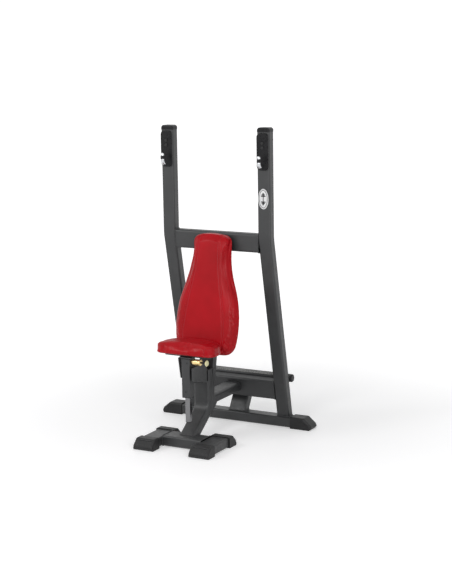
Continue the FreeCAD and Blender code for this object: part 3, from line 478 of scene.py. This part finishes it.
def groove(piece, path, direction, depth, width):
    """Presses a rounded channel into a cushion along a path on its surface."""
    line = even([p for p, _ in path], 0.002, closed=False)
    tree = KDTree(len(line))
    for i, spot in enumerate(line):
        tree.insert(spot, i)
    tree.balance()
    points = world_points(piece.data)
    push = np.array(direction)
    for i, spot in enumerate(points):
        away = tree.find(spot)[2]
        if away < 3 * width:
            points[i] = spot + push * depth * math.exp(-(away / width) ** 2)
    piece.data.vertices.foreach_set("co", points.ravel())
    piece.data.update()


def stitches(name, paths, pitch=0.0075, long=0.0052, thick=0.0008):
    """Rows of thread stitches along paths of (point, normal) on a surface."""
    mesh = bmesh.new()
    for path in paths:
        line = even([p + n * STITCH_LIFT for p, n in path], pitch, closed=False)
        for a, b in zip(line, line[1:]):
            along = (b - a) * (long / pitch)
            radii = [thick * s for s in (0.35, 0.9, 1, 0.9, 0.35)]
            spots = [a + along * s for s in (0, 0.15, 0.5, 0.85, 1)]
            add_rope(mesh, spots, radii, sides=6)
    return from_bmesh(name, mesh)


def piping(name, loop):
    """A welt: a thin round cord of the cover's own material along a seam."""
    mesh = bmesh.new()
    line = even(loop, 0.006)
    add_rope(mesh, line, [PIPING] * len(line), closed=True, sides=10)
    return from_bmesh(name, mesh)


def rippled(piece, facing, amount, spread):
    """Small sewing puckers where a cushion's cover is pulled in along its edges."""
    points = world_points(piece.data)
    normals = np.array([v.normal for v in piece.data.vertices])
    for i, spot in enumerate(points):
        normal = Vector(normals[i])
        side = 1 - min(1, abs(normal.dot(facing)) * 1.3)
        if side <= 0:
            continue
        wave = noise.noise(Vector((spot[0] * spread, spot[1] * spread, spot[2] * 7)))
        wave += 0.5 * noise.noise(Vector((spot[0] * spread * 2.3, spot[1] * spread * 2.3, 3.1)))
        points[i] = spot + normals[i] * amount * side * wave
    piece.data.vertices.foreach_set("co", points.ravel())
    piece.data.update()


def rolled_flanks(pad, path, facing, drop):
    """Lets a cushion's front fall away in a soft curve from a seam out to its edge, on both sides."""
    points = world_points(pad.data)
    heights = [p.z for p in reversed(path)]
    seam = np.interp(points[:, 2], heights, [abs(p.x) for p in reversed(path)])
    bins = np.round((points[:, 2] - points[:, 2].min()) / 0.01).astype(int)
    reach = np.zeros(bins.max() + 1)
    np.maximum.at(reach, bins, np.abs(points[:, 0]))
    edge = np.interp(points[:, 2], points[:, 2].min() + 0.01 * np.arange(len(reach)), reach)
    share = np.clip((np.abs(points[:, 0]) - seam) / np.maximum(edge - seam, 0.01), 0, 1)
    depth = points @ np.array(facing)
    front = np.clip((depth - depth.min()) / (depth.max() - depth.min()), 0, 1)
    points -= np.array(facing) * (drop * share ** 1.35 * front)[:, None]
    pad.data.vertices.foreach_set("co", points.ravel())
    pad.data.update()


def back_cushion():
    pad = puffed("back_cushion", "back_pad", "back_board", REST_FRONT)
    kept_inside(pad, "back_pad")
    rippled(pad, REST_FRONT, 0.0012, 16)
    low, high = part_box("back_pad")
    heights = [high.z - 0.045, high.z - 0.1, high.z - 0.2, high.z - 0.3, high.z - 0.4,
               high.z - 0.54, low.z + 0.09, low.z + 0.03]
    widths = [0.068, 0.070, 0.078, 0.094, 0.112, 0.130, 0.133, 0.126]
    middle = (low.y + high.y) / 2
    sketches = [[Vector((side * w, middle, z)) for w, z in zip(widths, heights)] for side in (-1, 1)]
    rolled_flanks(pad, sketches[1], REST_FRONT, 0.022)
    seams = [smooth_line(sketch) for sketch in sketches]
    for path in seams:
        groove(pad, draped(pad, path, -REST_FRONT), -REST_FRONT, 0.0045, 0.006)
    rows = [draped(pad, [p + X * offset for p in path], -REST_FRONT)
            for path in seams for offset in (-0.0065, 0.0065)]
    pad.data.shade_smooth()
    dress(pad, "red_upholstery", "frame")
    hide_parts("back_pad")
    dress(stitches("back_stitches", rows), "red_upholstery", "frame", "stitch_thread")
    base = max(v.co.dot(REST_FRONT) for v in nodes["back_board"].data.vertices)
    loop = slice_loop(pad.data, REST_FRONT * (base + 0.043), REST_FRONT)
    dress(piping("back_piping", loop), "red_upholstery", "frame")


def seat_cushion():
    pad = puffed("seat_cushion", "seat_pad", "seat_board", Z)
    kept_inside(pad, "seat_pad")
    rippled(pad, Z, 0.0045, 20)
    low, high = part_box("seat_pad")
    rows = []
    for side in (-1, 1):
        corner = Vector((side * (high.x - 0.062), low.y + 0.012, 0))
        path = [corner + Z * z for z in np.linspace(low.z + 0.008, high.z - 0.022, 20)]
        inward = Vector((-side * 0.35, 1, 0)).normalized()
        landed = draped(pad, path, inward)
        groove(pad, landed, inward, 0.006, 0.007)
        rows.append(draped(pad, path, inward))
    pad.data.shade_smooth()
    dress(pad, "red_upholstery", "seat")
    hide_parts("seat_pad")
    dress(stitches("seat_stitches", rows), "red_upholstery", "seat", "stitch_thread")
    loop = slice_loop(pad.data, Z * (high.z - 0.018), Z)
    dress(piping("seat_piping", loop), "red_upholstery", "seat")


# ---- welds, rubber ribs, badge --------------------------------------------------------------

def welds():
    """Beads where one tube of the frame meets the next."""
    seams = []

    def bead(node, spot, normal, keep=lambda p: True):
        loop = even(slice_loop(nodes[node].data, Vector(spot), Vector(normal)), 0.0016)
        if loop and all(keep(p) for p in loop):
            seams.append((loop, True))
        elif loop:
            first = next(i for i, p in enumerate(loop) if not keep(p))
            turned = loop[first:] + loop[:first]
            seams.append(([p for p in turned if keep(p)], False))

    for node in ("upper_cross_beam", "lower_cross_beam", "front_cross_beam"):
        low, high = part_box(node)
        for end in (low.x + 0.001, high.x - 0.001):
            bead(node, (end, 0, 0), X)
    for node in ("left_upright", "right_upright", "rear_brace"):
        bead(node, (0, 0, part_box(node)[0].z + 0.001), Z)
    bead("rear_brace", (0, 0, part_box("rear_brace")[1].z - 0.001), Z)
    bead("back_support_post", (0, 0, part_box("back_support_post")[1].z - 0.001), Z)
    for node in ("seat_arm", "sleeve_neck"):
        for end in (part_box(node)[0].y + 0.001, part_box(node)[1].y - 0.001):
            bead(node, (0, end, 0), Y)
    bead("spine_tube", (0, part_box("spine_tube")[0].y + 0.001, 0), Y)
    beam_low, beam_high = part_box("front_cross_beam")
    bead("main_column", (0, 0, beam_high.z + 0.001), Z, lambda p: p.y < beam_high.y)
    mesh = bmesh.new()
    for loop, closed in seams:
        radii = [0.0034 + 0.0005 * math.sin(i * 2 * math.pi / 3.2) for i in range(len(loop))]
        add_rope(mesh, loop, radii, closed, sides=8)
    dress(from_bmesh("weld_beads", mesh), "frame_paint", "frame")


def oblong(centre, across, up, wide, tall, count=48):
    """Points of a rounded oblong, with straight runs between two half rounds."""
    spots = []
    for i in range(count):
        angle = 2 * math.pi * i / count
        shift = math.copysign(wide - tall, math.cos(angle)) if wide > tall else 0
        spots.append(centre + across * (shift + tall * math.cos(angle)) + up * tall * math.sin(angle))
    return spots


def foot_ribs():
    """Raised ribs moulded on the sloping ends and flat sides of the rubber feet."""
    mesh = bmesh.new()
    for side in ("left", "right"):
        for end, sign in (("front", -1), ("rear", 1)):
            low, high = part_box(f"{side}_runner_{end}_foot")
            tip = low.y if sign < 0 else high.y
            toe = Vector(((low.x + high.x) / 2, tip - sign * FOOT_TOE[0], low.z + FOOT_TOE[1]))
            brow = Vector((toe.x, tip - sign * RUNNER_BROW, high.z))
            up = (brow - toe).normalized()
            centre = toe.lerp(brow, 0.40)
            ring = even(oblong(centre, X, up, 0.046, 0.0165), 0.003)
            add_rope(mesh, ring, [0.0016] * len(ring), closed=True, sides=8)
            for lift in (-0.009, -0.003, 0.003, 0.009):
                reach = 0.040 - abs(lift) * 0.8
                line = [centre + X * reach * t + up * lift for t in (-1, -0.97, 0, 0.97, 1)]
                add_rope(mesh, line, [0.0004, 0.0011, 0.0011, 0.0011, 0.0004], sides=8)
        low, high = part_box(f"{side}_rear_foot")
        sign = 1 if side == "left" else -1
        tip = high.x if sign > 0 else low.x
        for face in (low.y, high.y):
            for inset in (0.016, 0.028):
                toe = Vector((tip - sign * (0.006 + inset), face, 0.026))
                brow = Vector((tip - sign * (REAR_BROW + inset), face, high.z - 0.012))
                line = [toe.lerp(brow, t) for t in (0, 0.04, 0.5, 0.96, 1)]
                add_rope(mesh, line, [0.0004, 0.0014, 0.0014, 0.0014, 0.0004], sides=8)
    dress(from_bmesh("foot_ribs", mesh), "foot_rubber", "frame")


def hook_dark_bands():
    """A black band round the upright part of each bar hook: painted reflection, the dark band that
    the chrome lip mirrors between its lit tip and its lit bend.
    """
    mesh = bmesh.new()
    for node in ("left_bar_hook", "right_bar_hook"):
        low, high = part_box(node)
        radius = (high.x - low.x) / 2
        axis = Vector((low.x + radius, low.y + radius, 0))
        # The band leaves the lit bend below and the lit tip above in chrome; the black between them
        # is painted reflection.
        bottom, top = low.z + 0.038, high.z - 0.0165
        spots = [axis + Z * z for z in (bottom, bottom + 0.001, top - 0.001, top)]
        add_rope(mesh, spots, [radius, radius + 0.0009, radius + 0.0009, radius], sides=32)
    dress(from_bmesh("hook_dark_bands", mesh), "cap_plastic", "frame")


def pin_spring():
    """The locking pin's spring, which its collar presses against the far end of its barrel."""
    coil = dress(link("pin_spring", nodes["coil_spring"].data.copy()), "spring_steel", "frame")
    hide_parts("coil_spring")
    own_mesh(coil)


def badge_mark():
    """A plain barbell pictogram in an oval rim on the badge, laid a hair above its face."""
    low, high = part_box("badge")
    centre = Vector(((low.x + high.x) / 2, low.y - 0.0002, (low.z + high.z) / 2))
    mesh = bmesh.new()
    bars = [(0, 0.0022, 0.036)]
    for s in (-1, 1):
        bars += [(s * 0.0165, 0.0150, 0.0030), (s * 0.0240, 0.0110, 0.0028),
                 (s * 0.0300, 0.0060, 0.0020)]
    for shift, wide, tall in bars:
        long, short, along, across = (tall, wide, Z, X) if tall > wide else (wide, tall, X, Z)
        ring = oblong(centre + Z * shift, along, across, long, short)
        lower = [mesh.verts.new(p) for p in ring]
        upper = [mesh.verts.new(p - Y * 0.0005) for p in ring]
        mesh.faces.new(upper)
        for i in range(len(ring)):
            k = (i + 1) % len(ring)
            mesh.faces.new((lower[i], lower[k], upper[k], upper[i]))
    wide, tall = (high.x - low.x) / 2 - 0.0065, (high.z - low.z) / 2 - 0.0075
    rim = [centre + X * wide * math.cos(a) + Z * tall * math.sin(a)
           for a in np.linspace(0, 2 * math.pi, 72, endpoint=False)]
    add_rope(mesh, rim, [0.0013] * len(rim), closed=True, sides=6)
    dress(from_bmesh("badge_mark", mesh, smooth=False), "cap_plastic", "frame")


# ---- make everything ------------------------------------------------------------------------

camera()
studio()
looks = finishes()
for label, shown in nodes.items():
    shown.data.materials.clear()
    shown.data.materials.append(looks[slot_of[label]])
# The seat post takes the darker chrome: painted shade for its dark reflections.
nodes["seat_post"].data.materials[0] = looks["post_chrome_painted_shade"]
back_cushion()
seat_cushion()
welds()
foot_ribs()
hook_dark_bands()
pin_spring()
badge_mark()
